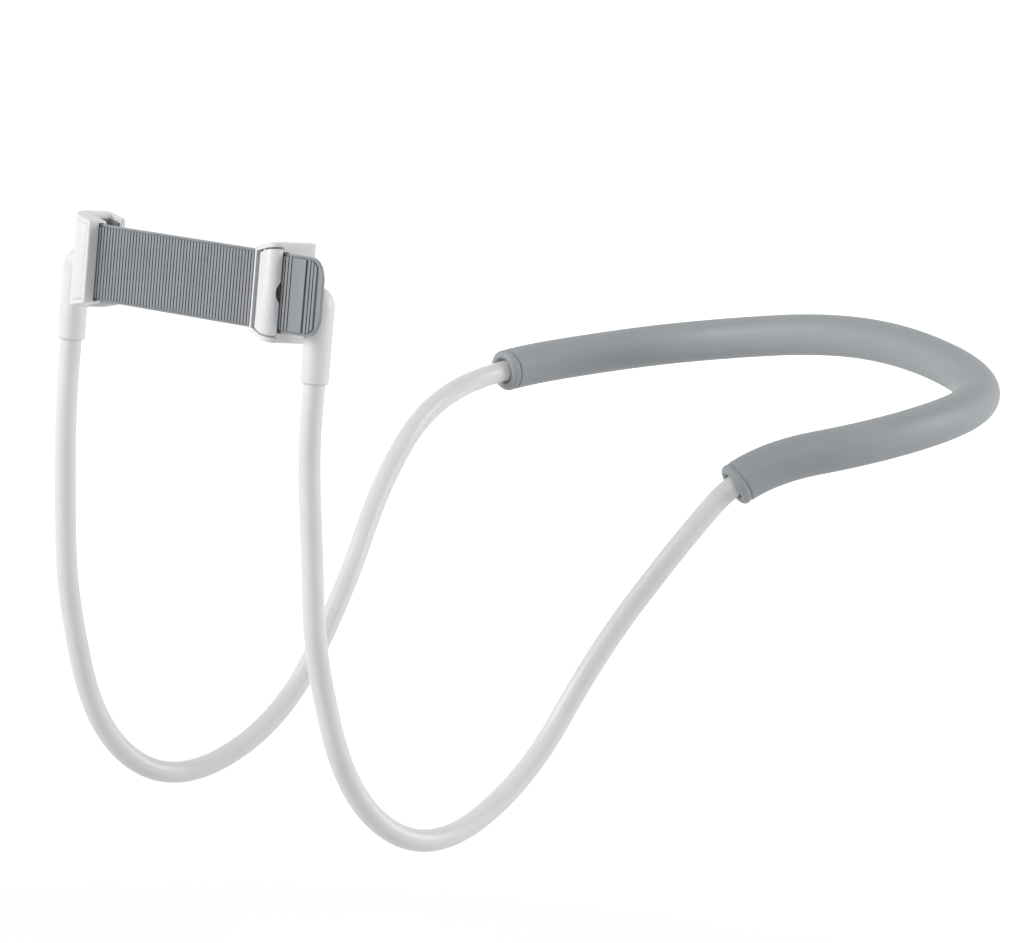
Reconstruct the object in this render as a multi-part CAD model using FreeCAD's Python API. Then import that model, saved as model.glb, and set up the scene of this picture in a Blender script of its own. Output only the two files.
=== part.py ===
import FreeCAD, Part
import math
import os

# Neck phone holder. A bendable arm goes round the nape in a padded loop, its two ends come forward
# and rise into elbow sockets, and a banded clamp turns between the two sockets.
# Origin: the pad's inner side at the middle of the nape. +X wearer's left, -Y forward, +Z up.
# The jaw on the +X side locks the band with a flap, the jaw on the -X side anchors the band's end.

V = FreeCAD.Vector

# Bendable arm
SHEATH_DIAMETER = 10.0
SHEATH_WALL = 2.0
CORE_GAP = 0.2
ARC_SHARE = 0.45

# Route of one arm from the nape to the last bend below its socket, mirrored for the other arm
NAPE_HALF_RUN = 29.0
NAPE_DEPTH = 10.0
LOOP_HALF_WIDTH = 146.4
ARM_DROP = 228.5
ARM_ROUTE = [
    V(92.4, -0.7, -9.5),
    V(130.4, -32.5, -19.4),
    V(LOOP_HALF_WIDTH, -103.6, -33.8),
    V(119.9, -162.6, -49.8),
    V(112.3, -191.5, -85.7),
    V(95.9, -220.9, -137.3),
    V(92.5, -254.6, -198.3),
    V(97.3, -308.8, -ARM_DROP),
    V(97.2, -355.7, -204.5),
    V(95.5, -379.9, -141.0),
    V(95.4, -385.7, -97.4),
]
SOCKET_RUN_START_Z = -52.0

# Neck pad, a sleeve that slides on the arm and sits a little towards the +X side
PAD_DIAMETER = 20.0
PAD_BORE_GAP = 0.3
PAD_REACH_PLUS = 285.0
PAD_REACH_MINUS = 206.5
PAD_RING_LENGTH = 4.4
PAD_RING_ROUND = 2.6
PAD_RING_BORE_GAP = 0.9
PAD_GROOVE_WIDTH = 1.0
PAD_GROOVE_DEPTH = 0.6

# Elbow sockets and the clamp's pivot axis, which runs along X
ARM_X = 93.3
PIVOT_Y = -391.0
PIVOT_Z = 16.0
SOCKET_DIAMETER = 12.7
SOCKET_DROP = 36.0
SOCKET_BORE_TOP = 10.0
SOCKET_BORE_GAP = 0.1
SOCKET_EDGE_ROUND = 1.0
ELBOW_SHOULDER = 9.5
ELBOW_FACE_GAP = 0.4
STUB_DIAMETER = 5.6
PIVOT_RUNNING_GAP = 0.05
PIVOT_END_PLAY = 0.3
WASHER_DIAMETER = 6.8
WASHER_THICKNESS = 0.8
WASHER_HOLE_GAP = 0.2
PIVOT_SCREW_DIAMETER = 2.6
PIVOT_SCREW_LENGTH = 9.0
PIVOT_HEAD_DIAMETER = 5.0
PIVOT_HEAD_HEIGHT = 1.4
SCREW_HOLE_GAP = 0.05
CROSS_WIDTH = 0.7
CROSS_DEPTH = 0.7

# Clamp, measured from the device's middle plane and from the pivot's height
DEVICE_TO_PIVOT = 5.2
CLAMP_MID_Z = 2.0
JAW_IN = 61.0
JAW_OUT = 80.0
JAW_IN_HEIGHT = 37.4
JAW_OUT_HEIGHT = 44.4
JAW_BACK = 11.4
JAW_EDGE_ROUND = 0.8
JAW_BACK_CORNER = 2.5
MOUTH_FLOOR = -3.0
MOUTH_LIP = 9.0
MOUTH_END = 74.5
LIP_IN = 66.0
LIP_ROUND = 0.9
BEARING_WALL = 2.5
PIVOT_POCKET_DIAMETER = 7.6

# Rubber grips that line the mouths
GRIP_THICKNESS = 1.0
GRIP_FLOOR_IN = 63.0
GRIP_LIP_IN = 67.5
GRIP_INSET = 2.2
GRIP_RIB_PITCH = 4.0
GRIP_RIB_WIDTH = 1.6
GRIP_RIB_HEIGHT = 0.5
GRIP_RIB_COUNT = 7

# Ribbed band
BAND_WIDTH = 34.5
BAND_BACK = -4.4
BAND_BASE = 1.4
BAND_RIB_HEIGHT = 0.8
BAND_RIB_PITCH = 2.3
BAND_RIB_WIDTH = 1.65
BAND_BORDER = 1.3
BAND_END = 107.6
BAND_CORNER = 9.6
BAND_GAP = 0.3
BAND_SIDE_GAP = 0.4
TAIL_FIELD_START = 86.2
TAIL_FIELD_END = 96.0
TAIL_END_MARGIN = 2.6

# Lock jaw: a rim bar, a groove and a flap on a vertical pin
LOCK_RIM_FRONT = -8.6
LOCK_SLOPE = 16.0
LOCK_EDGE_FLAT = 0.3
RIM_WIDTH = 2.2
RIM_GROOVE = 4.0
CHEEK = 2.2
FLAP_SIDE_GAP = 0.3
FLAP_TAPER_LAG = 5.4
FLAP_UNDER_GAP = 0.3
FLAP_END_INSET = 0.2
FLAP_WALL = 1.5
FLAP_BARREL = 1.45
FLAP_NOSE = 1.1
FLAP_CAVITY_START = 3.0
FLAP_PIN_DIAMETER = 1.5
FLAP_PIN_GAP = 0.05
FLAP_PIN_COVER = 0.7
CLAMP_BAR_START = 4.0
CLAMP_BAR_WIDTH = 4.6
CLAMP_TOOTH_DEPTH = 0.5
NOTCH_RADIUS = 6.3
NOTCH_DEPTH = 2.0

# Anchor jaw: a hollow block with an inset cover, the band looped round a pin inside it
ANCHOR_FRONT = -12.0
ANCHOR_CORNER = 12.0
ANCHOR_EDGE = 0.8
COVER_THICKNESS = 1.6
COVER_RIM = 2.4
COVER_SIDE_GAP = 0.15
COVER_OUT = 74.0
COVER_LEDGE = 1.2
ANCHOR_WALL = 1.4
ANCHOR_PIN_X = 66.5
ANCHOR_PIN_DIAMETER = 3.0
ANCHOR_PIN_GAP = 0.1
ANCHOR_PIN_SEAT = 1.0
BAND_LOOP_RADIUS = 2.7
COVER_SCREW_X = 71.0
COVER_SCREW_SPREAD = 24.0
COVER_POST_DIAMETER = 3.2
COVER_SCREW_DIAMETER = 1.6
COVER_SCREW_LENGTH = 5.0
COVER_HEAD_DIAMETER = 3.0
COVER_HEAD_HEIGHT = 0.7

# Derived sizes
SHEATH_R = SHEATH_DIAMETER / 2
SHEATH_BORE_R = SHEATH_R - SHEATH_WALL
CORE_R = SHEATH_BORE_R - CORE_GAP
PAD_R = PAD_DIAMETER / 2
SOCKET_R = SOCKET_DIAMETER / 2
STUB_R = STUB_DIAMETER / 2
STUB_END = JAW_OUT - BEARING_WALL - PIVOT_END_PLAY
BAND_BASE_FRONT = BAND_BACK - BAND_BASE
BAND_FRONT = BAND_BASE_FRONT - BAND_RIB_HEIGHT
CHANNEL_BACK = BAND_BACK + BAND_GAP
CHANNEL_FRONT = BAND_FRONT - BAND_GAP
CHANNEL_HALF = BAND_WIDTH / 2 + BAND_SIDE_GAP
LOCK_SLOPE_TAN = math.tan(math.radians(LOCK_SLOPE))
LOCK_CORNER_FRONT = LOCK_RIM_FRONT - (JAW_OUT - JAW_IN) * LOCK_SLOPE_TAN
FLAP_IN = JAW_IN + RIM_WIDTH + RIM_GROOVE
FLAP_OUT = JAW_OUT - FLAP_END_INSET
FLAP_UNDER = CHANNEL_FRONT - FLAP_UNDER_GAP
FLAP_PIN_X = FLAP_IN + FLAP_BARREL
FLAP_PIN_Y = FLAP_UNDER - FLAP_BARREL
LOCK_CORNER = (FLAP_UNDER - LOCK_CORNER_FRONT - LOCK_EDGE_FLAT) / math.tan(math.radians(45 + LOCK_SLOPE / 2))
CLAMP_PLACE = V(0, PIVOT_Y - DEVICE_TO_PIVOT, PIVOT_Z)
PAST = 5.0
TINY = 1e-6


# Outlines and solids

def rounded_edges(points, radii, closed):
    """Straight runs joined by tangent arcs of the given radii."""
    corners = []
    for i, point in enumerate(points):
        open_end = not closed and i in (0, len(points) - 1)
        if open_end or radii[i] == 0:
            corners.append((point, None, point))
            continue
        back = (points[i - 1] - point).normalize()
        ahead = (points[(i + 1) % len(points)] - point).normalize()
        half = back.getAngle(ahead) / 2
        inward = (back + ahead).normalize()
        reach = radii[i] / math.tan(half)
        middle = point + inward * (radii[i] / math.sin(half) - radii[i])
        corners.append((point + back * reach, middle, point + ahead * reach))
    edges = []
    for i, (start, middle, stop) in enumerate(corners):
        if middle is not None:
            edges.append(Part.Arc(start, middle, stop).toShape())
        if i + 1 < len(corners) or closed:
            following = corners[(i + 1) % len(corners)][0]
            if stop.distanceToPoint(following) > TINY:
                edges.append(Part.LineSegment(stop, following).toShape())
    return edges


def rounded_face(corners):
    """A flat face from (point, corner radius) pairs."""
    points = [point for point, radius in corners]
    radii = [radius for point, radius in corners]
    return Part.Face(Part.Wire(rounded_edges(points, radii, True)))


def plan_slab(corners):
    """A plan outline of (x, y, radius) corners, as tall as any jaw needs."""
    tall = JAW_OUT_HEIGHT + 2 * PAST
    low = CLAMP_MID_Z - tall / 2
    face = rounded_face([(V(x, y, low), radius) for x, y, radius in corners])
    return face.extrude(V(0, 0, tall))


def front_slab(corners):
    """A front-view outline of (x, z, radius) corners, as deep as any jaw needs."""
    front = LOCK_CORNER_FRONT + ANCHOR_FRONT - PAST
    deep = JAW_BACK + PAST - front
    face = rounded_face([(V(x, front, z), radius) for x, z, radius in corners])
    return face.extrude(V(0, deep, 0))


def block(x0, x1, y0, y1, z0, z1):
    return Part.makeBox(x1 - x0, y1 - y0, z1 - z0, V(x0, y0, z0))


def rod(start, direction, radius, length):
    return Part.makeCylinder(radius, length, start, direction)


def mirrored(shape):
    return shape.mirror(V(0, 0, 0), V(1, 0, 0))


def single(shape):
    """The one solid that an operation is meant to leave."""
    solids = shape.removeSplitter().Solids
    if len(solids) != 1:
        raise ValueError("expected one solid, found %d" % len(solids))
    return solids[0]


# Arm route

def arm_points():
    """Every corner of the whole route, from the -X socket round the nape to the +X socket."""
    socket_x = ARM_X
    top = PIVOT_Z - SOCKET_BORE_TOP
    half = [V(NAPE_HALF_RUN, NAPE_DEPTH, 0)] + ARM_ROUTE
    half += [V(socket_x, PIVOT_Y, SOCKET_RUN_START_Z), V(socket_x, PIVOT_Y, top)]
    other = [V(-p.x, p.y, p.z) for p in reversed(half)]
    return other + half


def arm_edges():
    points = arm_points()
    radii = [0.0]
    for before, point, after in zip(points, points[1:], points[2:]):
        shorter = min(before.distanceToPoint(point), point.distanceToPoint(after))
        half = (before - point).getAngle(after - point) / 2
        radii.append(ARC_SHARE * shorter * math.tan(half))
    radii.append(0.0)
    return rounded_edges(points, radii, False)


def stretch(edges, start, end):
    """The part of the route between two lengths measured from the nape's middle."""
    offset = -sum(edge.Length for edge in edges) / 2
    kept = []
    for edge in edges:
        first = max(start - offset, 0.0)
        last = min(end - offset, edge.Length)
        if last - first > TINY:
            low = edge.getParameterByLength(first)
            high = edge.getParameterByLength(last)
            kept.append(edge.Curve.toShape(low, high))
        offset += edge.Length
    return kept


def end_frame(edges, at_end):
    """Point and outward direction at one end of a run of edges."""
    edge = edges[-1] if at_end else edges[0]
    parameter = edge.LastParameter if at_end else edge.FirstParameter
    outward = edge.tangentAt(parameter) * (1 if at_end else -1)
    return edge.valueAt(parameter), outward


def swept_tube(edges, outer_radius, inner_radius):
    """A round section carried along the edges, hollow where an inner radius is given."""
    start, outward = end_frame(edges, False)
    section = Part.Face(Part.Wire(Part.Circle(start, outward, outer_radius).toShape()))
    if inner_radius > 0:
        hole = Part.Face(Part.Wire(Part.Circle(start, outward, inner_radius).toShape()))
        section = section.cut(hole).Faces[0]
    return single(Part.Wire(edges).makePipe(section))


# Neck pad

def turned(profile, place, direction):
    """A profile of (radius, along, corner radius) turned about its axis and set along a direction."""
    face = rounded_face([(V(radius, 0, along), corner) for radius, along, corner in profile])
    solid = face.revolve(V(0, 0, 0), V(0, 0, 1), 360)
    solid.Placement = FreeCAD.Placement(place, FreeCAD.Rotation(V(0, 0, 1), direction))
    return solid


def pad_ring(place, outward):
    """End ring of the pad with a rounded shoulder and a shallow groove where it meets the sleeve."""
    bore = SHEATH_R + PAD_RING_BORE_GAP
    seat = PAD_R - PAD_GROOVE_DEPTH
    profile = [
        (bore, 0, 0),
        (seat, 0, 0),
        (seat, PAD_GROOVE_WIDTH, 0),
        (PAD_R, PAD_GROOVE_WIDTH, 0),
        (PAD_R, PAD_RING_LENGTH, PAD_RING_ROUND),
        (bore, PAD_RING_LENGTH, 0.5 * PAD_GROOVE_DEPTH),
    ]
    return turned(profile, place, outward)


# Elbow sockets, pivot washers and pivot screws, modelled on the +X side about the pivot axis

def arm_socket():
    bend = ELBOW_SHOULDER - SOCKET_R
    corner = V(ARM_X - bend, 0, -bend)
    upright = rod(V(ARM_X, 0, -SOCKET_DROP), V(0, 0, 1), SOCKET_R, SOCKET_DROP - bend)
    mouth = [edge for edge in upright.Edges if edge.BoundBox.ZMax < TINY - SOCKET_DROP]
    upright = upright.makeFillet(SOCKET_EDGE_ROUND, mouth)
    face_x = JAW_OUT + ELBOW_FACE_GAP
    level = rod(V(face_x, 0, 0), V(1, 0, 0), SOCKET_R, corner.x - face_x)
    section = Part.Face(Part.Wire(Part.Circle(V(ARM_X, 0, corner.z), V(0, 0, 1), SOCKET_R).toShape()))
    outer_half = Part.makePlane(2 * SOCKET_R, 2 * SOCKET_R, V(corner.x, -SOCKET_R, corner.z))
    shoulder = section.common(outer_half).Faces[0].revolve(corner, V(0, -1, 0), 90)
    stub = rod(V(STUB_END, 0, 0), V(1, 0, 0), STUB_R, corner.x - STUB_END)
    socket = upright.fuse([level, shoulder, stub])
    bore = rod(V(ARM_X, 0, -SOCKET_DROP - PAST), V(0, 0, 1), SHEATH_R + SOCKET_BORE_GAP,
               SOCKET_DROP + PAST - SOCKET_BORE_TOP)
    pilot = rod(V(STUB_END - PAST, 0, 0), V(1, 0, 0), PIVOT_SCREW_DIAMETER / 2 + SCREW_HOLE_GAP,
                PAST + PIVOT_SCREW_LENGTH)
    return single(socket.cut([bore, pilot]))


def pivot_washer():
    ring = rod(V(STUB_END - WASHER_THICKNESS, 0, 0), V(1, 0, 0), WASHER_DIAMETER / 2, WASHER_THICKNESS)
    hole = rod(V(STUB_END - PAST, 0, 0), V(1, 0, 0), PIVOT_SCREW_DIAMETER / 2 + WASHER_HOLE_GAP, 2 * PAST)
    return single(ring.cut(hole))


def cross_recess(centre, inward, across):
    """The cross-shaped slot of a screw head, cut inwards from the middle of its face."""
    arm = inward.cross(across)
    reach = 2 * CROSS_WIDTH
    bars = []
    for along, aside in ((across, arm), (arm, across)):
        corner = centre - along * reach - aside * (CROSS_WIDTH / 2) - inward * CROSS_DEPTH
        square = Part.makePolygon([
            corner,
            corner + along * (2 * reach),
            corner + along * (2 * reach) + aside * CROSS_WIDTH,
            corner + aside * CROSS_WIDTH,
            corner,
        ])
        bars.append(Part.Face(square).extrude(inward * (2 * CROSS_DEPTH)))
    return bars[0].fuse(bars[1])


def pivot_screw():
    head_back = STUB_END - WASHER_THICKNESS
    head_face = head_back - PIVOT_HEAD_HEIGHT
    head = rod(V(head_face, 0, 0), V(1, 0, 0), PIVOT_HEAD_DIAMETER / 2, PIVOT_HEAD_HEIGHT)
    rim = [edge for edge in head.Edges if edge.BoundBox.XMax < head_face + TINY]
    head = head.makeFillet(PIVOT_HEAD_HEIGHT / 2, rim)
    shank = rod(V(head_back, 0, 0), V(1, 0, 0), PIVOT_SCREW_DIAMETER / 2,
                PIVOT_SCREW_LENGTH - WASHER_THICKNESS)
    recess = cross_recess(V(head_face, 0, 0), V(1, 0, 0), V(0, 1, 0))
    return single(head.fuse(shank).cut(recess))


# Clamp jaws, modelled on the +X side; the anchor jaw is mirrored when it is placed

def jaw_half_height(x):
    """Half the height of a jaw, low at the band and rising evenly to its outer end."""
    return (JAW_IN_HEIGHT + (JAW_OUT_HEIGHT - JAW_IN_HEIGHT) * (x - JAW_IN) / (JAW_OUT - JAW_IN)) / 2


def taper_outline(start, end, inset):
    """Front-view outline of a jaw between two places, drawn in by an inset."""
    first = jaw_half_height(start) - inset
    last = jaw_half_height(end) - inset
    return [
        (start, CLAMP_MID_Z - first, 0),
        (end, CLAMP_MID_Z - last, 0),
        (end, CLAMP_MID_Z + last, 0),
        (start, CLAMP_MID_Z + first, 0),
    ]


def mouth_outline():
    """Plan corners shared by both jaws: outer wall, lip and mouth, from the outer back corner on."""
    return [
        (JAW_OUT, JAW_BACK, JAW_BACK_CORNER),
        (LIP_IN, JAW_BACK, LIP_ROUND),
        (LIP_IN, MOUTH_LIP, LIP_ROUND),
        (MOUTH_END, MOUTH_LIP, LIP_ROUND),
        (MOUTH_END, MOUTH_FLOOR, 0),
        (JAW_IN, MOUTH_FLOOR, 0),
    ]


def jaw_blank(front_corners):
    """Solid jaw with its outline edges rounded, before any pocket is cut."""
    plan = plan_slab(front_corners + mouth_outline())
    blank = single(plan.common(front_slab(taper_outline(JAW_IN, JAW_OUT, 0))))
    rims = [edge for edge in blank.Edges if not is_upright(edge)]
    return blank.makeFillet(JAW_EDGE_ROUND, rims)


def is_upright(edge):
    return edge.BoundBox.ZLength > JAW_IN_HEIGHT / 2


def pivot_cuts():
    """Bearing hole through the outer wall and the pocket for the washer and the screw head."""
    axis = V(MOUTH_END - PAST, DEVICE_TO_PIVOT, 0)
    hole = rod(axis, V(1, 0, 0), STUB_R + PIVOT_RUNNING_GAP, JAW_OUT - MOUTH_END + 2 * PAST)
    pocket_end = JAW_OUT - BEARING_WALL
    pocket = rod(axis, V(1, 0, 0), PIVOT_POCKET_DIAMETER / 2, pocket_end - axis.x)
    return [hole, pocket]


def band_channel(start, end):
    return block(start, end, CHANNEL_FRONT, CHANNEL_BACK,
                 CLAMP_MID_Z - CHANNEL_HALF, CLAMP_MID_Z + CHANNEL_HALF)


def lock_front():
    """Plan corners of the lock jaw's sloping front, from the mouth floor's inner end on."""
    return [
        (JAW_IN, LOCK_RIM_FRONT, JAW_EDGE_ROUND),
        (JAW_OUT, LOCK_CORNER_FRONT, LOCK_CORNER),
    ]


def lock_jaw_body():
    blank = jaw_blank(lock_front())
    pocket_start = JAW_IN + RIM_WIDTH
    pocket_plan = plan_slab([
        (pocket_start, CHANNEL_FRONT, 0),
        (pocket_start, LOCK_CORNER_FRONT - PAST, 0),
        (JAW_OUT + PAST, LOCK_CORNER_FRONT - PAST, 0),
        (JAW_OUT + PAST, CHANNEL_FRONT, 0),
    ])
    pocket = pocket_plan.common(front_slab(taper_outline(pocket_start, JAW_OUT + PAST, CHEEK)))
    pin_hole = flap_pin_rod(FLAP_PIN_DIAMETER / 2 + FLAP_PIN_GAP)
    channel = band_channel(JAW_IN - PAST, JAW_OUT + PAST)
    return single(blank.cut([pocket, channel, pin_hole] + pivot_cuts()))


def flap_pin_rod(radius):
    half = jaw_half_height(FLAP_PIN_X) - FLAP_PIN_COVER
    return rod(V(FLAP_PIN_X, FLAP_PIN_Y, CLAMP_MID_Z - half), V(0, 0, 1), radius, 2 * half)


def flap_plan(inset, start, under):
    """Plan outline of the flap, drawn in by an inset from the jaw's sloping front."""
    lift = inset / math.cos(math.radians(LOCK_SLOPE))
    front_start = LOCK_RIM_FRONT - (start - JAW_IN) * LOCK_SLOPE_TAN + lift
    end = FLAP_OUT - inset
    front_end = LOCK_RIM_FRONT - (end - JAW_IN) * LOCK_SLOPE_TAN + lift
    barrel = FLAP_BARREL if inset == 0 else 0
    nose = FLAP_NOSE if inset == 0 else 0
    return [
        (start, under, barrel),
        (start, front_start, nose),
        (end, front_end, LOCK_CORNER - FLAP_END_INSET - inset),
        (end, under, 0),
    ]


def flap_outline(start, inset):
    """Front-view outline of the flap's underside; its taper lags the jaw's so that it swings clear."""
    corners = taper_outline(start - FLAP_TAPER_LAG, JAW_OUT, inset)
    return [(x + FLAP_TAPER_LAG, z, radius) for x, z, radius in corners]


def flap_sides(inset):
    """Block between the cheeks, begun before the hinge, closest to them at the outer front corners."""
    first = jaw_half_height(FLAP_IN - FLAP_TAPER_LAG) - inset
    last = jaw_half_height(JAW_OUT) - inset
    before = PAST / (JAW_OUT - FLAP_IN)
    half = first - before * (last - first)
    wires = []
    for y, end in ((LOCK_CORNER_FRONT, JAW_OUT), (FLAP_UNDER, JAW_OUT + FLAP_TAPER_LAG)):
        start = FLAP_IN - before * (end - FLAP_IN)
        outline = [(start, -half), (end, -last), (end, last), (start, half)]
        corners = [V(x, y, CLAMP_MID_Z + z) for x, z in outline]
        wires.append(Part.makePolygon(corners + corners[:1]))
    return Part.makeLoft(wires, True, True)


def lock_flap():
    side = CHEEK + FLAP_SIDE_GAP
    outer = plan_slab(flap_plan(0, FLAP_IN, FLAP_UNDER))
    outer = single(outer.common(flap_sides(side)))
    cavity_start = FLAP_IN + FLAP_CAVITY_START
    cavity = plan_slab(flap_plan(FLAP_WALL, cavity_start, FLAP_UNDER + PAST))
    cavity = cavity.common(front_slab(flap_outline(cavity_start, side + FLAP_WALL)))
    flap = outer.cut(cavity).fuse(clamp_bar())
    notch_middle = V(FLAP_OUT - PAST, FLAP_UNDER + NOTCH_RADIUS - NOTCH_DEPTH, CLAMP_MID_Z)
    notch = rod(notch_middle, V(1, 0, 0), NOTCH_RADIUS, 2 * PAST)
    pin_hole = rod(V(FLAP_PIN_X, FLAP_PIN_Y, CLAMP_MID_Z - JAW_OUT_HEIGHT), V(0, 0, 1),
                   FLAP_PIN_DIAMETER / 2 + FLAP_PIN_GAP, 2 * JAW_OUT_HEIGHT)
    return single(flap.cut([notch, pin_hole]))


def clamp_bar():
    """Toothed bar under the flap that bears on the band's ribs."""
    start = FLAP_IN + CLAMP_BAR_START
    end = start + CLAMP_BAR_WIDTH
    bar = plan_slab(flap_plan(FLAP_WALL / 2, start, FLAP_UNDER))
    half = BAND_WIDTH / 2 - BAND_BORDER
    bar = bar.common(block(start, end, LOCK_CORNER_FRONT, FLAP_UNDER,
                           CLAMP_MID_Z - half, CLAMP_MID_Z + half))
    grooves = []
    middle = start + BAND_RIB_PITCH / 2
    while middle < end:
        tip = V(middle, FLAP_UNDER - CLAMP_TOOTH_DEPTH, CLAMP_MID_Z - JAW_OUT_HEIGHT)
        wedge = [
            (tip, 0),
            (V(middle + CLAMP_TOOTH_DEPTH, FLAP_UNDER + TINY, tip.z), 0),
            (V(middle - CLAMP_TOOTH_DEPTH, FLAP_UNDER + TINY, tip.z), 0),
        ]
        grooves.append(rounded_face(wedge).extrude(V(0, 0, 2 * JAW_OUT_HEIGHT)))
        middle += BAND_RIB_PITCH
    return bar.cut(grooves)


def anchor_front(inset):
    """Plan corners of the anchor jaw's flat front and its large outer corner."""
    return [
        (JAW_IN, ANCHOR_FRONT + inset, ANCHOR_EDGE if inset == 0 else 0),
        (JAW_OUT - inset, ANCHOR_FRONT + inset, ANCHOR_CORNER - inset),
    ]


def anchor_front_slab(inset, back):
    """Everything behind the anchor jaw's front surface, drawn in by an inset."""
    return plan_slab(anchor_front(inset) + [(JAW_OUT - inset, back, 0), (JAW_IN, back, 0)])


def cover_shape(gap):
    """The cover's plate, grown by a gap at its sides to make its seat."""
    skin = anchor_front_slab(0, MOUTH_FLOOR).cut(anchor_front_slab(COVER_THICKNESS, MOUTH_FLOOR + PAST))
    start = JAW_IN + COVER_RIM - gap
    return single(skin.common(front_slab(taper_outline(start, COVER_OUT + gap, COVER_RIM - gap))))


def cover_screw_places():
    return [CLAMP_MID_Z - COVER_SCREW_SPREAD / 2, CLAMP_MID_Z + COVER_SCREW_SPREAD / 2]


def anchor_cavity():
    start = JAW_IN + ANCHOR_WALL
    behind = anchor_front_slab(COVER_THICKNESS, CHANNEL_BACK)
    return behind.common(front_slab(taper_outline(start, COVER_OUT - COVER_LEDGE, ANCHOR_WALL))).common(
        block(start, JAW_OUT, ANCHOR_FRONT, CHANNEL_BACK,
              CLAMP_MID_Z - CHANNEL_HALF, CLAMP_MID_Z + CHANNEL_HALF))


def anchor_jaw_body():
    blank = jaw_blank(anchor_front(0))
    pin_seat = anchor_pin_rod(ANCHOR_PIN_DIAMETER / 2 + ANCHOR_PIN_GAP)
    cuts = [cover_shape(COVER_SIDE_GAP), anchor_cavity(), pin_seat]
    cuts.append(band_channel(JAW_IN - PAST, ANCHOR_PIN_X))
    for z in cover_screw_places():
        cuts.append(rod(V(COVER_SCREW_X, CHANNEL_BACK - COVER_THICKNESS, z), V(0, 1, 0),
                        COVER_SCREW_DIAMETER / 2 + SCREW_HOLE_GAP, MOUTH_FLOOR - CHANNEL_BACK + PAST))
    return single(blank.cut(cuts + pivot_cuts()))


def anchor_jaw_cover():
    """Inset cover with two posts that reach back to the jaw's floor."""
    behind = anchor_front_slab(COVER_THICKNESS / 2, CHANNEL_BACK)
    posts = []
    pilots = []
    for z in cover_screw_places():
        start = V(COVER_SCREW_X, ANCHOR_FRONT, z)
        posts.append(rod(start, V(0, 1, 0), COVER_POST_DIAMETER / 2, CHANNEL_BACK - start.y).common(behind))
        pilots.append(rod(V(COVER_SCREW_X, CHANNEL_BACK, z), V(0, -1, 0),
                          COVER_SCREW_DIAMETER / 2 + SCREW_HOLE_GAP, COVER_SCREW_LENGTH))
    return single(cover_shape(0).fuse(posts).cut(pilots))


def cover_screws():
    """The two screws that draw the cover in from the mouth side."""
    screws = []
    for z in cover_screw_places():
        seat = V(COVER_SCREW_X, MOUTH_FLOOR, z)
        head = rod(seat, V(0, 1, 0), COVER_HEAD_DIAMETER / 2, COVER_HEAD_HEIGHT)
        shank = rod(seat, V(0, -1, 0), COVER_SCREW_DIAMETER / 2, COVER_SCREW_LENGTH)
        face = seat + V(0, COVER_HEAD_HEIGHT, 0)
        screws.append(single(head.fuse(shank).cut(cross_recess(face, V(0, -1, 0), V(1, 0, 0)))))
    return Part.makeCompound(screws)


def anchor_pin_rod(radius):
    half = CHANNEL_HALF + ANCHOR_PIN_SEAT
    centre_y = BAND_BACK - BAND_LOOP_RADIUS
    return rod(V(ANCHOR_PIN_X, centre_y, CLAMP_MID_Z - half), V(0, 0, 1), radius, 2 * half)


# Grips

def grip(head_holes):
    """Channel of rubber lining the mouth, with ridges across its end wall."""
    inside = MOUTH_END - GRIP_THICKNESS
    floor = MOUTH_FLOOR + GRIP_THICKNESS
    lip = MOUTH_LIP - GRIP_THICKNESS
    liner = plan_slab([
        (GRIP_FLOOR_IN, MOUTH_FLOOR, 0),
        (MOUTH_END, MOUTH_FLOOR, 0),
        (MOUTH_END, MOUTH_LIP, LIP_ROUND),
        (GRIP_LIP_IN, MOUTH_LIP, 0),
        (GRIP_LIP_IN, lip, GRIP_THICKNESS / 3),
        (inside, lip, 0),
        (inside, floor, 0),
        (GRIP_FLOOR_IN, floor, GRIP_THICKNESS / 3),
    ])
    liner = liner.common(front_slab(taper_outline(GRIP_FLOOR_IN, JAW_OUT, GRIP_INSET)))
    ribs = []
    first = CLAMP_MID_Z - (GRIP_RIB_COUNT - 1) * GRIP_RIB_PITCH / 2
    for i in range(GRIP_RIB_COUNT):
        z = first + i * GRIP_RIB_PITCH
        ribs.append(block(inside - GRIP_RIB_HEIGHT, inside, floor, lip, z - GRIP_RIB_WIDTH / 2,
                          z + GRIP_RIB_WIDTH / 2))
    liner = liner.fuse(ribs)
    if head_holes:
        holes = [rod(V(COVER_SCREW_X, MOUTH_FLOOR - PAST, z), V(0, 1, 0),
                     COVER_HEAD_DIAMETER / 2 + BAND_GAP, 2 * PAST - MOUTH_FLOOR / 2)
                 for z in cover_screw_places()]
        liner = liner.cut(holes)
    return single(liner)


# Band

def band_ribs():
    """Start and end of each raised stretch: single ribs and the smooth field on the tail."""
    stretches = []
    start = -JAW_IN
    while start + BAND_RIB_WIDTH < BAND_END - TAIL_END_MARGIN:
        end = start + BAND_RIB_WIDTH
        if end < TAIL_FIELD_START or start > TAIL_FIELD_END:
            stretches.append((start, end))
        start += BAND_RIB_PITCH
    stretches.append((TAIL_FIELD_START, TAIL_FIELD_END))
    return stretches


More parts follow.
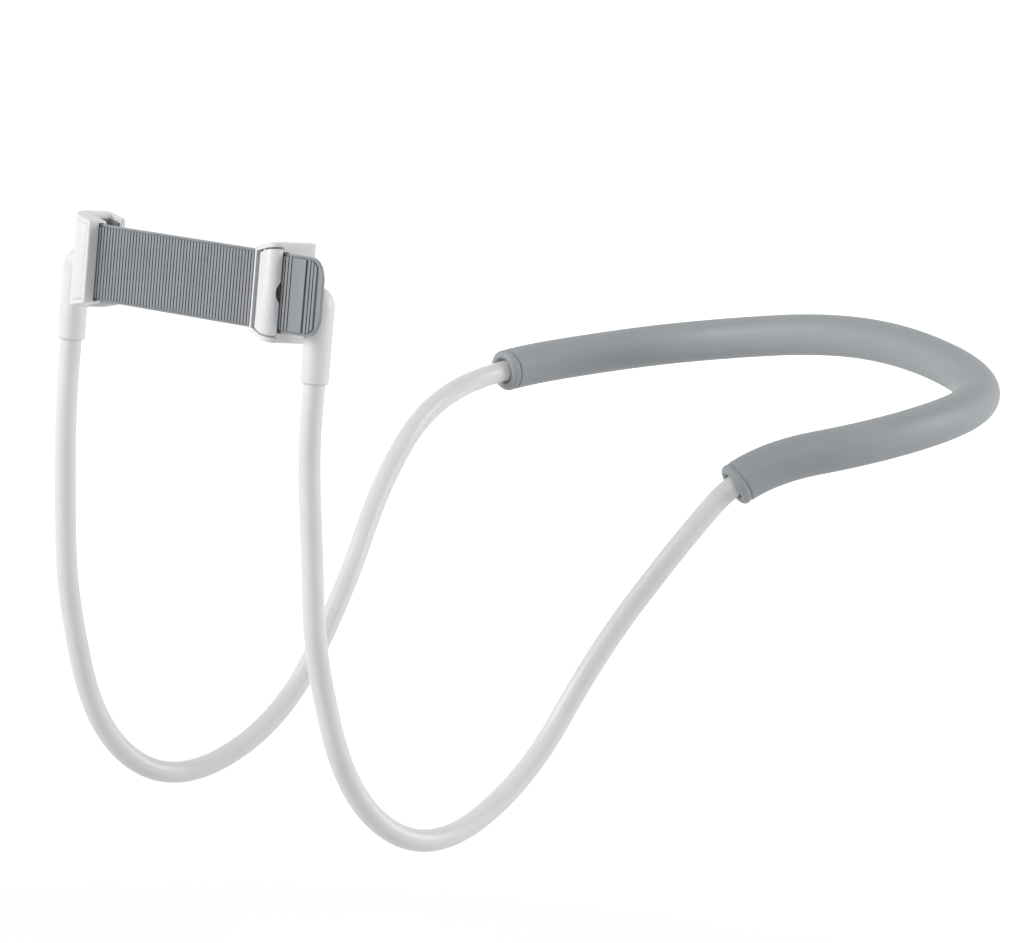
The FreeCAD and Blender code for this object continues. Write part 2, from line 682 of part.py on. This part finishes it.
def ribbed_band():
    half = BAND_WIDTH / 2
    low = CLAMP_MID_Z - half
    high = CLAMP_MID_Z + half
    base = rounded_face([
        (V(-ANCHOR_PIN_X, BAND_BASE_FRONT, low), 0),
        (V(BAND_END, BAND_BASE_FRONT, low), BAND_CORNER),
        (V(BAND_END, BAND_BASE_FRONT, high), BAND_CORNER),
        (V(-ANCHOR_PIN_X, BAND_BASE_FRONT, high), 0),
    ]).extrude(V(0, BAND_BASE, 0))
    ribs = [block(start, end, BAND_FRONT, BAND_BASE_FRONT, low + BAND_BORDER, high - BAND_BORDER)
            for start, end in band_ribs()]
    corner_trim = rounded_face([
        (V(-ANCHOR_PIN_X, BAND_FRONT, low + BAND_BORDER), 0),
        (V(BAND_END - BAND_BORDER, BAND_FRONT, low + BAND_BORDER), BAND_CORNER - BAND_BORDER),
        (V(BAND_END - BAND_BORDER, BAND_FRONT, high - BAND_BORDER), BAND_CORNER - BAND_BORDER),
        (V(-ANCHOR_PIN_X, BAND_FRONT, high - BAND_BORDER), 0),
    ]).extrude(V(0, BAND_RIB_HEIGHT, 0))
    ribs = [rib.common(corner_trim) for rib in ribs]
    loop_axis = V(-ANCHOR_PIN_X, BAND_BACK - BAND_LOOP_RADIUS, low)
    loop = rod(loop_axis, V(0, 0, 1), BAND_LOOP_RADIUS, BAND_WIDTH)
    eye = rod(loop_axis - V(0, 0, PAST), V(0, 0, 1), ANCHOR_PIN_DIAMETER / 2 + ANCHOR_PIN_GAP,
              BAND_WIDTH + 2 * PAST)
    return single(base.fuse(ribs + [loop]).cut(eye))


# Assembly

def placed(shape):
    """Set a clamp piece from the clamp's own place into the holder."""
    copy = shape.copy()
    copy.translate(CLAMP_PLACE)
    return copy


def on_pivot(shape):
    """Set a piece that was modelled about the pivot axis into the holder."""
    copy = shape.copy()
    copy.translate(V(0, PIVOT_Y, PIVOT_Z))
    return copy


def arm_pieces():
    route = arm_edges()
    sleeve = stretch(route, -PAD_REACH_MINUS, PAD_REACH_PLUS)
    plus_end, plus_out = end_frame(sleeve, True)
    minus_end, minus_out = end_frame(sleeve, False)
    return {
        "gooseneck_core": swept_tube(route, CORE_R, 0),
        "gooseneck_sheath": swept_tube(route, SHEATH_R, SHEATH_BORE_R),
        "neck_pad_sleeve": swept_tube(sleeve, PAD_R, SHEATH_R + PAD_BORE_GAP),
        "pad_ring_lock_side": pad_ring(plus_end, plus_out),
        "pad_ring_anchor_side": pad_ring(minus_end, minus_out),
        "lock_arm_socket": on_pivot(arm_socket()),
        "anchor_arm_socket": on_pivot(mirrored(arm_socket())),
        "lock_pivot_washer": on_pivot(pivot_washer()),
        "anchor_pivot_washer": on_pivot(mirrored(pivot_washer())),
        "lock_pivot_screw": on_pivot(pivot_screw()),
        "anchor_pivot_screw": on_pivot(mirrored(pivot_screw())),
    }


def clamp_pieces():
    return {
        "lock_jaw_body": placed(lock_jaw_body()),
        "lock_jaw_grip": placed(grip(False)),
        "lock_flap": placed(lock_flap()),
        "flap_hinge_pin": placed(flap_pin_rod(FLAP_PIN_DIAMETER / 2)),
        "anchor_jaw_body": placed(mirrored(anchor_jaw_body())),
        "anchor_jaw_cover": placed(mirrored(anchor_jaw_cover())),
        "anchor_cover_screws": placed(mirrored(cover_screws())),
        "anchor_jaw_grip": placed(mirrored(grip(True))),
        "ribbed_band": placed(ribbed_band()),
        "band_anchor_pin": placed(mirrored(anchor_pin_rod(ANCHOR_PIN_DIAMETER / 2))),
    }


os.makedirs("parts", exist_ok=True)
for name, shape in {**arm_pieces(), **clamp_pieces()}.items():
    shape.exportStep("parts/%s.step" % name)
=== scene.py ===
import math

import bpy
from mathutils import Matrix, Vector


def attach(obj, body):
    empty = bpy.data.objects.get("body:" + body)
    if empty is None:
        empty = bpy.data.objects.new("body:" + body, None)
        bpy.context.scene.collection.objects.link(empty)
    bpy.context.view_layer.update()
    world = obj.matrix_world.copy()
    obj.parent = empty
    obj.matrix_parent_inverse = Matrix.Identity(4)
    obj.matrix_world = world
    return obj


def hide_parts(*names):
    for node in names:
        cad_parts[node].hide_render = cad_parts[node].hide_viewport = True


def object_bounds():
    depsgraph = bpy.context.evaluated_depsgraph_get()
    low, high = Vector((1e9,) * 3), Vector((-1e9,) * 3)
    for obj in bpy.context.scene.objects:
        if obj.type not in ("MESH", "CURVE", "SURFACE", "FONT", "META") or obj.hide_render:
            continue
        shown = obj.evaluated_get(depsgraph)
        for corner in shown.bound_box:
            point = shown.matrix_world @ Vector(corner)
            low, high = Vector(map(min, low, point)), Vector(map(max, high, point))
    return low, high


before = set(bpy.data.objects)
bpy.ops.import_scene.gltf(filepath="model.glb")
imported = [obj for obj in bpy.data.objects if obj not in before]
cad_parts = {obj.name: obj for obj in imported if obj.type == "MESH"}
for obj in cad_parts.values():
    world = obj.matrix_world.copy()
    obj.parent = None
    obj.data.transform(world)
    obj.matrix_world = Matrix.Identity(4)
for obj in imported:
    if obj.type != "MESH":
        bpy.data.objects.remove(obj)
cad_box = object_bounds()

# Neck holder with a clamp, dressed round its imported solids.
# Metres; +X to the wearer's left, -Y forward, +Z up.

# Arm route, from the nape to the lock socket, mirrored for the other arm
NAPE_POINT = (0.029, 0.010, 0.0)
ARM_ROUTE = [
    (0.0924, -0.0007, -0.0095),
    (0.1304, -0.0325, -0.0194),
    (0.1464, -0.1036, -0.0338),
    (0.1199, -0.1626, -0.0498),
    (0.1123, -0.1915, -0.0857),
    (0.0959, -0.2209, -0.1373),
    (0.0925, -0.2546, -0.1983),
    (0.0973, -0.3088, -0.2285),
    (0.0972, -0.3557, -0.2045),
    (0.0955, -0.3799, -0.1410),
    (0.0954, -0.3857, -0.0974),
]
SOCKET_RUN = [(0.0933, -0.391, -0.052), (0.0933, -0.391, -0.020), (0.0933, -0.391, 0.006)]
ROUTE_ORDER = 3
ROUTE_STEPS = 22
SHEATH_RADIUS = 0.005
SHEATH_BORE = 0.003
CORE_RADIUS = 0.0028
TUBE_ROUNDNESS = 14
TUBE_MERGE = 1e-6

# Neck pad, measured along the arm from the middle of the nape
PAD_RADIUS = 0.010
PAD_BORE = 0.0053
PAD_REACH_LOCK = 0.285
PAD_REACH_ANCHOR = 0.2065
PAD_RIM_ANGLE = math.radians(60)
PAD_END_ROUND = 0.0007
PAD_END_STEPS = 5
PAD_END_PROFILE = 0.5

# Pad rings, turned from a section
RING_BORE = 0.0053
RING_LENGTH = 0.0044
RING_ROUND = 0.0022
RING_FACE = 0.0004
RING_RECESS_ROUND = 0.0012
RING_RECESS_DEPTH = 0.0022
GROOVE_FLOOR = 0.0004
GROOVE_RISE = 0.0009
GROOVE_DEPTH = 0.0006
RING_SIDES = 96
RING_MERGE = 1e-7
ROUND_STEPS = 6

# Moulded pieces
SMOOTH_ANGLE = math.radians(35)
MOULD_MERGE = 2e-6
FLAT_ANGLE = math.radians(0.4)
SHARP_ANGLE = math.radians(40)
BAND_EASE = 0.0003
BAND_STEPS = 3
EDGE_EASE = 0.00018
EDGE_STEPS = 2

# Eased pieces: name, solid, body, finish, width and steps of the easing
EASED_PIECES = [
    ("band_ribs", "ribbed_band", "clamp", "band_grey", BAND_EASE, BAND_STEPS),
    ("lock_jaw_shell", "lock_jaw_body", "clamp", "moulded_white", EDGE_EASE, EDGE_STEPS),
    ("anchor_jaw_shell", "anchor_jaw_body", "clamp", "moulded_white", EDGE_EASE, EDGE_STEPS),
    ("anchor_cover_plate", "anchor_jaw_cover", "clamp", "moulded_white", EDGE_EASE, EDGE_STEPS),
    ("flap_plate", "lock_flap", "flap", "moulded_white", EDGE_EASE, EDGE_STEPS),
]

# Solids shown as they are, and their finishes
NODE_SLOTS = {
    "lock_arm_socket": "moulded_white",
    "anchor_arm_socket": "moulded_white",
    "lock_pivot_washer": "fastener_steel",
    "anchor_pivot_washer": "fastener_steel",
    "lock_pivot_screw": "fastener_steel",
    "anchor_pivot_screw": "fastener_steel",
    "lock_jaw_grip": "grip_grey",
    "flap_hinge_pin": "fastener_steel",
    "anchor_cover_screws": "fastener_steel",
    "anchor_jaw_grip": "grip_grey",
    "band_anchor_pin": "fastener_steel",
}

# Finishes: tones, least and most roughness, size and height of the grain, size of the clouds
FINISHES = {
    "core_metal": dict(
        dark=(0.55, 0.56, 0.58), light=(0.68, 0.69, 0.70), smooth=0.30, rough=0.42,
        grain=0.0006, grain_height=0.00001, cloud=0.010, metallic=1.0),
    "sheath_white": dict(
        dark=(0.770, 0.772, 0.774), light=(0.806, 0.808, 0.810), smooth=0.28, rough=0.36,
        grain=0.0005, grain_height=0.00001, cloud=0.030),
    "moulded_white": dict(
        dark=(0.795, 0.797, 0.800), light=(0.825, 0.827, 0.830), smooth=0.34, rough=0.42,
        grain=0.0004, grain_height=0.00001, cloud=0.020),
    "pad_grey": dict(
        dark=(0.320, 0.341, 0.353), light=(0.350, 0.371, 0.383), smooth=0.46, rough=0.58,
        grain=0.0006, grain_height=0.00003, cloud=0.045),
    "grip_grey": dict(
        dark=(0.20, 0.205, 0.21), light=(0.24, 0.245, 0.25), smooth=0.55, rough=0.70,
        grain=0.0005, grain_height=0.00003, cloud=0.015),
    "band_grey": dict(
        dark=(0.252, 0.269, 0.283), light=(0.276, 0.294, 0.308), smooth=0.30, rough=0.42,
        grain=0.0005, grain_height=0.00001, cloud=0.005, drawn=4.0),
    "fastener_steel": dict(
        dark=(0.52, 0.52, 0.54), light=(0.64, 0.64, 0.66), smooth=0.24, rough=0.36,
        grain=0.0003, grain_height=0.00001, cloud=0.004, metallic=1.0),
}
CLOUD_DETAIL = 4.0
TONE_SPAN = (0.35, 0.65)
GLOSS_SPAN = (0.3, 0.7)
GRAIN_DETAIL = 3.0
GRAIN_STRENGTH = 1.0

# Painted shade in the band's grooves: its reach, the share of tone left, and the openness it
# falls over
BAND_GROOVE_SHADE_REACH = 0.0012
BAND_GROOVE_SHADE_TONE = 0.15
GROOVE_SHADE_SPAN = (0.45, 0.95)
GROOVE_SHADE_SAMPLES = 16

# Camera, turned about the middle of the clamp
CAMERA_TARGET = Vector((0.0, -0.3962, 0.016))
CAMERA_AZIMUTH = 51.212
CAMERA_ELEVATION = 4.957
CAMERA_ROLL = 4.865
CAMERA_DISTANCE = 2.8219
CAMERA_SIDE = 0.144476
CAMERA_RISE = -0.084977
CAMERA_LENS = 223.52
CAMERA_SENSOR = 36.0
CAMERA_NEAR = 0.05
CAMERA_FAR = 50.0

# Soft boxes: place to the camera's right, toward the camera and up, size, and power in watts
LAMPS = {
    "key_box": dict(aside=-3.2, toward=1.1, above=1.7, width=2.2, height=2.2, power=86.0),
    "side_box": dict(aside=3.2, toward=0.0, above=1.2, width=1.6, height=2.4, power=62.0),
    "front_box": dict(aside=0.6, toward=3.2, above=2.2, width=2.0, height=2.0, power=19.0),
}

# Floor and surroundings
STAGE_CENTRE = Vector((0.0, -0.20, -0.10))
FLOOR_DROP = 0.09
FLOOR_RADIUS = 6.0
FLOOR_SIDES = 128
FLOOR_TONE = 0.86
GLOW_NEAR = 0.36
GLOW_FAR = 1.0
GLOW_START = 0.3
GLOW_REACH = 2.0
AMBIENT = 0.25
SEEN_WHITE = 1.06
WHITE = (1, 1, 1, 1)
BLACK = (0, 0, 0, 1)


# Modelling helpers

def only(piece):
    """Make one object the whole selection."""
    bpy.ops.object.select_all(action="DESELECT")
    piece.select_set(True)
    bpy.context.view_layer.objects.active = piece


def weld(merge, flat=0.0):
    """Merge the active mesh's doubles, dissolve what is flat and point its faces outwards."""
    bpy.ops.object.mode_set(mode="EDIT")
    bpy.ops.mesh.select_all(action="SELECT")
    bpy.ops.mesh.remove_doubles(threshold=merge)
    if flat:
        bpy.ops.mesh.dissolve_limited(angle_limit=flat)
    bpy.ops.mesh.normals_make_consistent(inside=False)
    bpy.ops.object.mode_set(mode="OBJECT")


def finished(piece, name, body, material):
    """Name a mesh, smooth its shading and let it ride on a body."""
    piece.name = name
    piece.data.name = name
    only(piece)
    bpy.ops.object.shade_smooth_by_angle(angle=SMOOTH_ANGLE)
    piece.data.materials.clear()
    piece.data.materials.append(material)
    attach(piece, body)


# Arm

def arm_points():
    """Knots of the whole arm, from the anchor socket round the nape to the lock socket."""
    half = [NAPE_POINT] + ARM_ROUTE + SOCKET_RUN
    return [(-x, y, z) for x, y, z in reversed(half)] + half


def arm_curve():
    """The arm's centreline as one smooth curve."""
    data = bpy.data.curves.new("arm_line", "CURVE")
    data.dimensions = "3D"
    line = data.splines.new("NURBS")
    points = arm_points()
    line.points.add(len(points) - 1)
    for knot, point in zip(line.points, points):
        knot.co = (*point, 1.0)
    line.order_u = ROUTE_ORDER
    line.use_endpoint_u = True
    line.resolution_u = ROUTE_STEPS
    curve = bpy.data.objects.new("arm_line", data)
    bpy.context.collection.objects.link(curve)
    return curve


def route_line():
    """Points along the arm's smooth curve, read from the curve itself."""
    curve = arm_curve()
    mesh = bpy.data.meshes.new_from_object(curve)
    line = [v.co.copy() for v in mesh.vertices]
    bpy.data.objects.remove(curve)
    bpy.data.meshes.remove(mesh)
    return line


def line_length(line):
    """Length of a line of points."""
    return sum((b - a).length for a, b in zip(line, line[1:]))


def place_on_line(line, reach):
    """Point and direction at a length from the nape's middle, positive to the lock side."""
    left = line_length(line) / 2 + reach
    for a, b in zip(line, line[1:]):
        step = (b - a).length
        if left <= step:
            return a.lerp(b, left / step), (b - a).normalized()
        left -= step
    return line[-1], (line[-1] - line[-2]).normalized()


def arm_tube(radius, bore=0.0, start=0.0, end=1.0):
    """A round tube, or a bar without a bore, between two shares of the arm's length."""
    curve = arm_curve()
    curve.data.bevel_depth = radius
    curve.data.bevel_resolution = TUBE_ROUNDNESS
    curve.data.use_fill_caps = bore == 0
    curve.data.bevel_factor_mapping_start = "SPLINE"
    curve.data.bevel_factor_mapping_end = "SPLINE"
    curve.data.bevel_factor_start = start
    curve.data.bevel_factor_end = end
    only(curve)
    bpy.ops.object.convert(target="MESH")
    tube = bpy.context.object
    weld(TUBE_MERGE)
    if bore:
        wall = tube.modifiers.new("wall", "SOLIDIFY")
        wall.thickness = radius - bore
        wall.offset = -1
        wall.use_rim = True
        bpy.ops.object.modifier_apply(modifier=wall.name)
    return tube


def round_ends(tube, radius):
    """Round the rims at a tube's two ends."""
    only(tube)
    bpy.ops.object.mode_set(mode="EDIT")
    bpy.ops.mesh.select_mode(type="EDGE")
    bpy.ops.mesh.select_all(action="DESELECT")
    bpy.ops.mesh.edges_select_sharp(sharpness=PAD_RIM_ANGLE)
    bpy.ops.mesh.bevel(offset=radius, segments=PAD_END_STEPS, profile=PAD_END_PROFILE,
                       clamp_overlap=False)
    bpy.ops.mesh.select_all(action="SELECT")
    bpy.ops.mesh.normals_make_consistent(inside=False)
    bpy.ops.object.mode_set(mode="OBJECT")


def turned_ring(profile):
    """A closed ring about Z: a circle extruded through (radius, height) steps and joined up."""
    radius, height = profile[0]
    bpy.ops.object.select_all(action="DESELECT")
    bpy.ops.mesh.primitive_circle_add(vertices=RING_SIDES, radius=radius, location=(0, 0, height))
    ring = bpy.context.object
    bpy.ops.object.transform_apply(location=True)
    bpy.ops.object.mode_set(mode="EDIT")
    bpy.ops.mesh.select_all(action="SELECT")
    for new_radius, new_height in profile[1:] + profile[:1]:
        rise = (0, 0, new_height - height)
        bpy.ops.mesh.extrude_edges_move(TRANSFORM_OT_translate={"value": rise})
        share = new_radius / radius
        bpy.ops.transform.resize(value=(share, share, 1), center_override=(0, 0, new_height))
        radius, height = new_radius, new_height
    weld(RING_MERGE)
    return ring


def quarter_round(middle, radius, first):
    """Steps of (radius, height) round a quarter circle, from an angle on."""
    steps = [math.radians(first + 90 * i / ROUND_STEPS) for i in range(ROUND_STEPS + 1)]
    return [(middle[0] + radius * math.cos(a), middle[1] + radius * math.sin(a)) for a in steps]


def ring_profile():
    """Pad ring in section: a groove at the sleeve, a round bead and a recess round the tube."""
    bead = (PAD_RADIUS - RING_ROUND, RING_LENGTH - RING_ROUND)
    lip = (bead[0] - RING_FACE, RING_LENGTH - RING_RECESS_ROUND)
    profile = [(RING_BORE, 0.0), (PAD_RADIUS - GROOVE_DEPTH, 0.0)]
    for i in range(ROUND_STEPS + 1):
        rise = i / ROUND_STEPS
        profile.append((PAD_RADIUS - GROOVE_DEPTH * (1 + math.cos(math.pi * rise)) / 2,
                        GROOVE_FLOOR + GROOVE_RISE * rise))
    profile += quarter_round(bead, RING_ROUND, 0)
    profile += quarter_round(lip, RING_RECESS_ROUND, 90)
    profile.append((lip[0] - RING_RECESS_ROUND, RING_LENGTH - RING_RECESS_DEPTH))
    profile.append((RING_BORE, RING_LENGTH - RING_RECESS_DEPTH))
    return profile


def pad_ring(name, node, place, outward, material):
    """One end ring of the pad, facing along the arm."""
    ring = turned_ring(ring_profile())
    turn = outward.to_track_quat("Z", "Y").to_matrix().to_4x4()
    ring.data.transform(Matrix.Translation(place) @ turn)
    finished(ring, name, "arm", material)
    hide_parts(node)


def arm_pieces(materials):
    """Sheath, core, neck pad and the pad's two end rings."""
    line = route_line()
    length = line_length(line)
    sheath = arm_tube(SHEATH_RADIUS, SHEATH_BORE)
    finished(sheath, "arm_sheath", "arm", materials["sheath_white"])
    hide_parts("gooseneck_sheath")
    core = arm_tube(CORE_RADIUS)
    finished(core, "arm_core", "arm", materials["core_metal"])
    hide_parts("gooseneck_core")
    pad = arm_tube(PAD_RADIUS, PAD_BORE,
                   0.5 - PAD_REACH_ANCHOR / length, 0.5 + PAD_REACH_LOCK / length)
    round_ends(pad, PAD_END_ROUND)
    finished(pad, "neck_pad", "arm", materials["pad_grey"])
    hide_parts("neck_pad_sleeve")
    place, along = place_on_line(line, PAD_REACH_LOCK)
    pad_ring("pad_end_ring_lock", "pad_ring_lock_side", place, along, materials["pad_grey"])
    place, along = place_on_line(line, -PAD_REACH_ANCHOR)
    pad_ring("pad_end_ring_anchor", "pad_ring_anchor_side", place, -along, materials["pad_grey"])


# Moulded pieces

def softened(materials, name, node, body, slot, ease, steps):
    """A moulded solid with its sharp edges eased, so that they catch the light."""
    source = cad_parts[node]
    piece = bpy.data.objects.new(name, source.data.copy())
    bpy.context.collection.objects.link(piece)
    only(piece)
    weld(MOULD_MERGE, FLAT_ANGLE)
    edge = piece.modifiers.new("eased_edges", "BEVEL")
    edge.width = ease
    edge.segments = steps
    edge.limit_method = "ANGLE"
    edge.angle_limit = SHARP_ANGLE
    bpy.ops.object.modifier_apply(modifier=edge.name)
    finished(piece, name, body, materials[slot])
    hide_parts(node)


def clamp_skins(materials):
    """The band, the jaws, the cover and the flap."""
    for piece in EASED_PIECES:
        softened(materials, *piece)


def dress_nodes(materials):
    """Give the solids that are shown as they are their finishes."""
    for name, slot in NODE_SLOTS.items():
        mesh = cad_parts[name].data
        mesh.materials.clear()
        mesh.materials.append(materials[slot])


# Materials

def link(tree, source, target):
    """Join two sockets."""
    tree.links.new(source, target)


def surface(name, dark, light, smooth, rough, grain, grain_height, cloud,
            metallic=0.0, drawn=1.0):
    """A finish with cloudy tone and gloss, drawn out upright, and a fine grain in relief."""
    material = bpy.data.materials.new(name)
    material.use_nodes = True
    tree = material.node_tree
    shader = tree.nodes["Principled BSDF"]
    shader.inputs["Metallic"].default_value = metallic
    place = tree.nodes.new("ShaderNodeTexCoord")
    spread = tree.nodes.new("ShaderNodeMapping")
    spread.inputs["Scale"].default_value = (1, 1, 1 / drawn)
    clouds = tree.nodes.new("ShaderNodeTexNoise")
    clouds.inputs["Scale"].default_value = 1 / cloud
    clouds.inputs["Detail"].default_value = CLOUD_DETAIL
    tone = tree.nodes.new("ShaderNodeValToRGB")
    for step, position, colour in zip(tone.color_ramp.elements, TONE_SPAN, (dark, light)):
        step.position = position
        step.color = (*colour, 1)
    gloss = tree.nodes.new("ShaderNodeMapRange")
    gloss.inputs["From Min"].default_value = GLOSS_SPAN[0]
    gloss.inputs["From Max"].default_value = GLOSS_SPAN[1]
    gloss.inputs["To Min"].default_value = smooth
    gloss.inputs["To Max"].default_value = rough
    fine = tree.nodes.new("ShaderNodeTexNoise")
    fine.inputs["Scale"].default_value = 1 / grain
    fine.inputs["Detail"].default_value = GRAIN_DETAIL
    relief = tree.nodes.new("ShaderNodeBump")
    relief.inputs["Strength"].default_value = GRAIN_STRENGTH
    relief.inputs["Distance"].default_value = grain_height
    link(tree, place.outputs["Object"], spread.inputs["Vector"])
    link(tree, spread.outputs["Vector"], clouds.inputs["Vector"])
    link(tree, place.outputs["Object"], fine.inputs["Vector"])
    link(tree, clouds.outputs["Fac"], tone.inputs["Fac"])
    link(tree, clouds.outputs["Fac"], gloss.inputs["Value"])
    link(tree, tone.outputs["Color"], shader.inputs["Base Color"])
    link(tree, gloss.outputs["Result"], shader.inputs["Roughness"])
    link(tree, fine.outputs["Fac"], relief.inputs["Height"])
    link(tree, relief.outputs["Normal"], shader.inputs["Normal"])
    return material


def paint_groove_shade(material, depth, share):
    """Paint shade into a surface's tone inside its narrow grooves."""
    tree = material.node_tree
    shader = tree.nodes["Principled BSDF"]
    tone = shader.inputs["Base Color"].links[0].from_socket
    # Ambient occlusion darkens the base colour where the grooves close in: painted shade
    painted_shade = tree.nodes.new("ShaderNodeAmbientOcclusion")
    painted_shade.samples = GROOVE_SHADE_SAMPLES
    painted_shade.only_local = True
    painted_shade.inputs["Distance"].default_value = depth
    open_share = tree.nodes.new("ShaderNodeMapRange")
    open_share.inputs["From Min"].default_value = GROOVE_SHADE_SPAN[0]
    open_share.inputs["From Max"].default_value = GROOVE_SHADE_SPAN[1]
    open_share.inputs["To Min"].default_value = share
    shaded = tree.nodes.new("ShaderNodeVectorMath")
    shaded.operation = "SCALE"
    link(tree, painted_shade.outputs["AO"], open_share.inputs["Value"])
    link(tree, tone, shaded.inputs[0])
    link(tree, open_share.outputs["Result"], shaded.inputs["Scale"])
    link(tree, shaded.outputs["Vector"], shader.inputs["Base Color"])


def finishes():
    """All finishes by name, the band's with painted shade in its grooves."""
    materials = {name: surface(name, **look) for name, look in FINISHES.items()}
    paint_groove_shade(materials["band_grey"], BAND_GROOVE_SHADE_REACH, BAND_GROOVE_SHADE_TONE)
    return materials


# Stage

def camera_axes():
    """Right, up and back directions of the camera."""
    turn = math.radians(CAMERA_AZIMUTH)
    lift = math.radians(CAMERA_ELEVATION)
    roll = math.radians(CAMERA_ROLL)
    back = Vector((math.sin(turn) * math.cos(lift),
                   -math.cos(turn) * math.cos(lift),
                   math.sin(lift)))
    level = Vector((math.cos(turn), math.sin(turn), 0))
    upright = back.cross(level)
    right = level * math.cos(roll) + upright * math.sin(roll)
    return right, back.cross(right), back


def add_camera():
    """The camera at its distance from the clamp, moved aside and down for the frame."""
    right, up, back = camera_axes()
    place = CAMERA_TARGET + right * CAMERA_SIDE + up * CAMERA_RISE + back * CAMERA_DISTANCE
    turn = Matrix((right, up, back)).transposed().to_4x4()
    bpy.ops.object.camera_add()
    camera = bpy.context.object
    camera.matrix_world = Matrix.Translation(place) @ turn
    camera.data.lens = CAMERA_LENS
    camera.data.sensor_width = CAMERA_SENSOR
    camera.data.clip_start = CAMERA_NEAR
    camera.data.clip_end = CAMERA_FAR
    bpy.context.scene.camera = camera


def add_lamp(name, aside, toward, above, width, height, power):
    """A soft box placed by the camera's right, the way to the camera, and up."""
    right, _, back = camera_axes()
    place = STAGE_CENTRE + right * aside + back * toward + Vector((0, 0, above))
    bpy.ops.object.light_add(type="AREA", location=place)
    lamp = bpy.context.object
    lamp.name = name
    lamp.rotation_euler = (STAGE_CENTRE - place).to_track_quat("-Z", "Y").to_euler()
    lamp.data.shape = "RECTANGLE"
    lamp.data.size = width
    lamp.data.size_y = height
    lamp.data.energy = power


def seen_rays(tree):
    """One where the surface is seen directly, in a reflection or through glass."""
    path = tree.nodes.new("ShaderNodeLightPath")
    first = tree.nodes.new("ShaderNodeMath")
    first.operation = "MAXIMUM"
    both = tree.nodes.new("ShaderNodeMath")
    both.operation = "MAXIMUM"
    link(tree, path.outputs["Is Camera Ray"], first.inputs[0])
    link(tree, path.outputs["Is Glossy Ray"], first.inputs[1])
    link(tree, first.outputs[0], both.inputs[0])
    link(tree, path.outputs["Is Transmission Ray"], both.inputs[1])
    return both.outputs[0]


def floor_finish():
    """Matt and pale, with a glow for seen rays that grows to white away from the object."""
    material = bpy.data.materials.new("studio_floor")
    material.use_nodes = True
    tree = material.node_tree
    tree.nodes.remove(tree.nodes["Principled BSDF"])
    matt = tree.nodes.new("ShaderNodeBsdfDiffuse")
    matt.inputs["Color"].default_value = (FLOOR_TONE, FLOOR_TONE, FLOOR_TONE, 1)
    place = tree.nodes.new("ShaderNodeTexCoord")
    away = tree.nodes.new("ShaderNodeVectorMath")
    away.operation = "LENGTH"
    rise = tree.nodes.new("ShaderNodeMapRange")
    rise.inputs["From Min"].default_value = GLOW_START
    rise.inputs["From Max"].default_value = GLOW_REACH
    rise.inputs["To Min"].default_value = GLOW_NEAR
    rise.inputs["To Max"].default_value = GLOW_FAR
    glow = tree.nodes.new("ShaderNodeEmission")
    dark = tree.nodes.new("ShaderNodeBsdfDiffuse")
    dark.inputs["Color"].default_value = BLACK
    choice = tree.nodes.new("ShaderNodeMixShader")
    total = tree.nodes.new("ShaderNodeAddShader")
    link(tree, place.outputs["Object"], away.inputs[0])
    link(tree, away.outputs["Value"], rise.inputs["Value"])
    link(tree, rise.outputs["Result"], glow.inputs["Strength"])
    link(tree, seen_rays(tree), choice.inputs["Fac"])
    link(tree, dark.outputs[0], choice.inputs[1])
    link(tree, glow.outputs[0], choice.inputs[2])
    link(tree, matt.outputs[0], total.inputs[0])
    link(tree, choice.outputs[0], total.inputs[1])
    link(tree, total.outputs[0], tree.nodes["Material Output"].inputs["Surface"])
    return material


def add_floor():
    """A round floor below the arms that keeps the shadow and fades into the white round it."""
    bpy.ops.object.select_all(action="DESELECT")
    low = cad_box[0].z - FLOOR_DROP
    bpy.ops.mesh.primitive_circle_add(vertices=FLOOR_SIDES, radius=FLOOR_RADIUS, fill_type="NGON",
                                      location=(STAGE_CENTRE.x, STAGE_CENTRE.y, low))
    floor = bpy.context.object
    floor.name = "studio_floor"
    floor.data.materials.append(floor_finish())


def add_world():
    """White where the background is seen, a dimmer grey where it lights the object."""
    world = bpy.data.worlds.new("studio_world")
    bpy.context.scene.world = world
    world.use_nodes = True
    tree = world.node_tree
    soft = tree.nodes["Background"]
    soft.inputs["Color"].default_value = WHITE
    soft.inputs["Strength"].default_value = AMBIENT
    white = tree.nodes.new("ShaderNodeBackground")
    white.inputs["Color"].default_value = WHITE
    white.inputs["Strength"].default_value = SEEN_WHITE
    choice = tree.nodes.new("ShaderNodeMixShader")
    link(tree, seen_rays(tree), choice.inputs["Fac"])
    link(tree, soft.outputs[0], choice.inputs[1])
    link(tree, white.outputs[0], choice.inputs[2])
    link(tree, choice.outputs[0], tree.nodes["World Output"].inputs["Surface"])


def add_stage():
    """Camera, soft boxes, floor and surroundings."""
    add_camera()
    for name, lamp in LAMPS.items():
        add_lamp(name, **lamp)
    add_floor()
    add_world()
    bpy.context.scene.view_settings.view_transform = "Standard"


def main():
    """Finishes first, then the pieces, then the stage."""
    materials = finishes()
    arm_pieces(materials)
    clamp_skins(materials)
    dress_nodes(materials)
    add_stage()


main()
